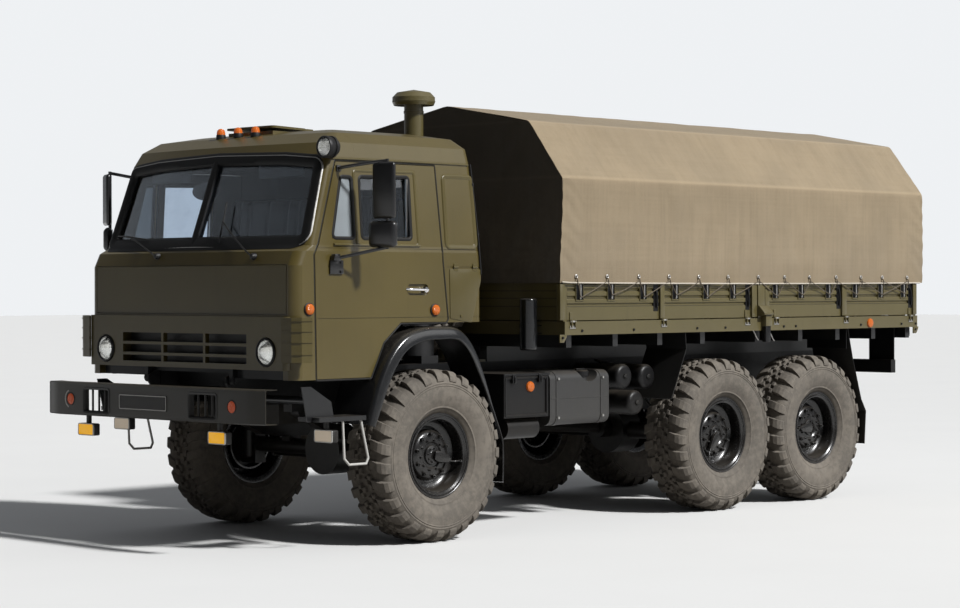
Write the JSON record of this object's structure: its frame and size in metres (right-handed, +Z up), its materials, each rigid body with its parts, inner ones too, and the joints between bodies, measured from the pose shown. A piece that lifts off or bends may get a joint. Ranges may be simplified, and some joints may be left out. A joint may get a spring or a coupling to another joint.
{
  "type": "military cargo truck",
  "caption": "Green six-wheel-drive military cargo truck with a tilting cab over the engine and a canvas-covered drop-side bed.",
  "frame": {"origin": "on the ground, under the middle of the truck's length and width", "axes": "+X forward, +Y to the truck's left, +Z up"},
  "size_m": [7.972, 3, 3.385],
  "materials": {
    "olive_paint": "semi-gloss",
    "black_paint": "satin",
    "wheel_paint": "satin",
    "tyre_rubber": "dusty",
    "canvas": "matte",
    "bench_wood": "satin",
    "engine_grey": "matte",
    "glass": "gloss",
    "lamp_glass": "gloss",
    "black_plastic": "satin",
    "flap_rubber": "matte",
    "seat_leather": "satin"
  },
  "bodies": {
    "chassis": {"frame_rails": "black_paint", "front_bumper": "olive_paint", "front_axle": "black_paint", "rear_axles": "black_paint", "leaf_springs": "black_paint", "engine_block": "engine_grey", "drive_shafts": "black_paint", "fuel_tanks": "black_paint", "battery_box": "black_paint", "air_tanks": "black_paint", "silencer": "black_paint", "air_intake": "olive_paint", "spare_carrier": "olive_paint", "spare_tyre": "tyre_rubber", "front_fenders": "black_paint", "front_steps": "black_paint", "stowage_canister": "olive_paint", "bed_frame": "olive_paint", "bed_boards": "olive_paint", "cover_frame": "olive_paint", "bed_benches": "bench_wood", "canvas_cover": "canvas", "rear_mudguards": "flap_rubber", "underrun_bar": "black_paint", "tow_hook": "black_paint", "chassis_lamps": "lamp_glass"},
    "cab": {"cab_shell": "olive_paint", "cab_roof": "olive_paint", "cab_floor": "olive_paint", "windscreen": "glass", "cab_seats": "seat_leather", "dashboard": "black_plastic", "head_lamps": "lamp_glass", "roof_lamps": "lamp_glass", "front_grille": "olive_paint"},
    "front_lid": {"front_lid": "olive_paint"},
    "roof_hatch": {"roof_hatch": "olive_paint"},
    "door_left": {"door_left": "olive_paint", "door_glass_left": "glass", "mirror_left": "black_plastic"},
    "door_right": {"door_right": "olive_paint", "door_glass_right": "glass", "mirror_right": "black_plastic"},
    "steering_wheel": {"steering_wheel": "black_plastic"},
    "knuckle_left": {"knuckle_left": "black_paint"},
    "knuckle_right": {"knuckle_right": "black_paint"},
    "tie_rod": {"tie_rod": "black_paint"},
    "tailgate": {"tailgate": "olive_paint"},
    "wheel_front_left": {"wheel_front_left": "wheel_paint", "tyre_front_left": "tyre_rubber"},
    "wheel_front_right": {"wheel_front_right": "wheel_paint", "tyre_front_right": "tyre_rubber"},
    "wheel_middle_left": {"wheel_middle_left": "wheel_paint", "tyre_middle_left": "tyre_rubber"},
    "wheel_middle_right": {"wheel_middle_right": "wheel_paint", "tyre_middle_right": "tyre_rubber"},
    "wheel_rear_left": {"wheel_rear_left": "wheel_paint", "tyre_rear_left": "tyre_rubber"},
    "wheel_rear_right": {"wheel_rear_right": "wheel_paint", "tyre_rear_right": "tyre_rubber"}
  },
  "joints": [
    {"name": "steer_left", "type": "hinge", "parent": "chassis", "child": "knuckle_left", "pos_m": [2.24, 0.93, 0.63], "axis": [0, 0, 1], "range_deg": [-30, 30]},
    {"name": "steer_right", "type": "hinge", "parent": "chassis", "child": "knuckle_right", "pos_m": [2.24, -0.93, 0.63], "axis": [0, 0, 1], "range_deg": [-30, 30]},
    {"name": "tie_rod_slide", "type": "slide", "parent": "chassis", "child": "tie_rod", "axis": [0, 1, 0], "range_m": [-0.084, 0.084]},
    {"name": "spin_front_left", "type": "hinge", "parent": "knuckle_left", "child": "wheel_front_left", "pos_m": [2.24, 1.025, 0.63], "axis": [0, 1, 0], "continuous": true},
    {"name": "spin_front_right", "type": "hinge", "parent": "knuckle_right", "child": "wheel_front_right", "pos_m": [2.24, -1.025, 0.63], "axis": [0, 1, 0], "continuous": true},
    {"name": "spin_middle_left", "type": "hinge", "parent": "chassis", "child": "wheel_middle_left", "pos_m": [-1.1, 1.025, 0.63], "axis": [0, 1, 0], "continuous": true},
    {"name": "spin_middle_right", "type": "hinge", "parent": "chassis", "child": "wheel_middle_right", "pos_m": [-1.1, -1.025, 0.63], "axis": [0, 1, 0], "continuous": true},
    {"name": "spin_rear_left", "type": "hinge", "parent": "chassis", "child": "wheel_rear_left", "pos_m": [-2.42, 1.025, 0.63], "axis": [0, 1, 0], "continuous": true},
    {"name": "spin_rear_right", "type": "hinge", "parent": "chassis", "child": "wheel_rear_right", "pos_m": [-2.42, -1.025, 0.63], "axis": [0, 1, 0], "continuous": true},
    {"name": "cab_tilt", "type": "hinge", "parent": "chassis", "child": "cab", "pos_m": [3.59, 0, 1.2], "axis": [0, 1, 0], "range_deg": [0, 60]},
    {"name": "door_left_hinge", "type": "hinge", "parent": "cab", "child": "door_left", "pos_m": [3.43, 1.17, 1.9], "axis": [0, 0, -1], "range_deg": [0, 75]},
    {"name": "door_right_hinge", "type": "hinge", "parent": "cab", "child": "door_right", "pos_m": [3.43, -1.17, 1.9], "axis": [0, 0, 1], "range_deg": [0, 75]},
    {"name": "front_lid_hinge", "type": "hinge", "parent": "cab", "child": "front_lid", "pos_m": [3.63, 0, 2.018], "axis": [0, -1, 0], "range_deg": [0, 85]},
    {"name": "roof_hatch_hinge", "type": "hinge", "parent": "cab", "child": "roof_hatch", "pos_m": [2.62, 0, 3.022], "axis": [0, -1, 0], "range_deg": [-1.5, 20]},
    {"name": "steering_wheel_turn", "type": "hinge", "parent": "cab", "child": "steering_wheel", "pos_m": [3.17, 0.6, 2.08], "axis": [-0.4695, 0, 0.8829], "range_deg": [-540, 540]},
    {"name": "tailgate_hinge", "type": "hinge", "parent": "chassis", "child": "tailgate", "pos_m": [-3.897, 0, 1.596], "axis": [0, -1, 0], "range_deg": [0, 175]}
  ],
  "couplings": [
    {"joint": "steer_right", "follows": "steer_left", "ratio": 1},
    {"joint": "tie_rod_slide", "follows": "steer_left", "m_per_rad": -0.16},
    {"joint": "steering_wheel_turn", "follows": "steer_left", "ratio": 18}
  ]
}
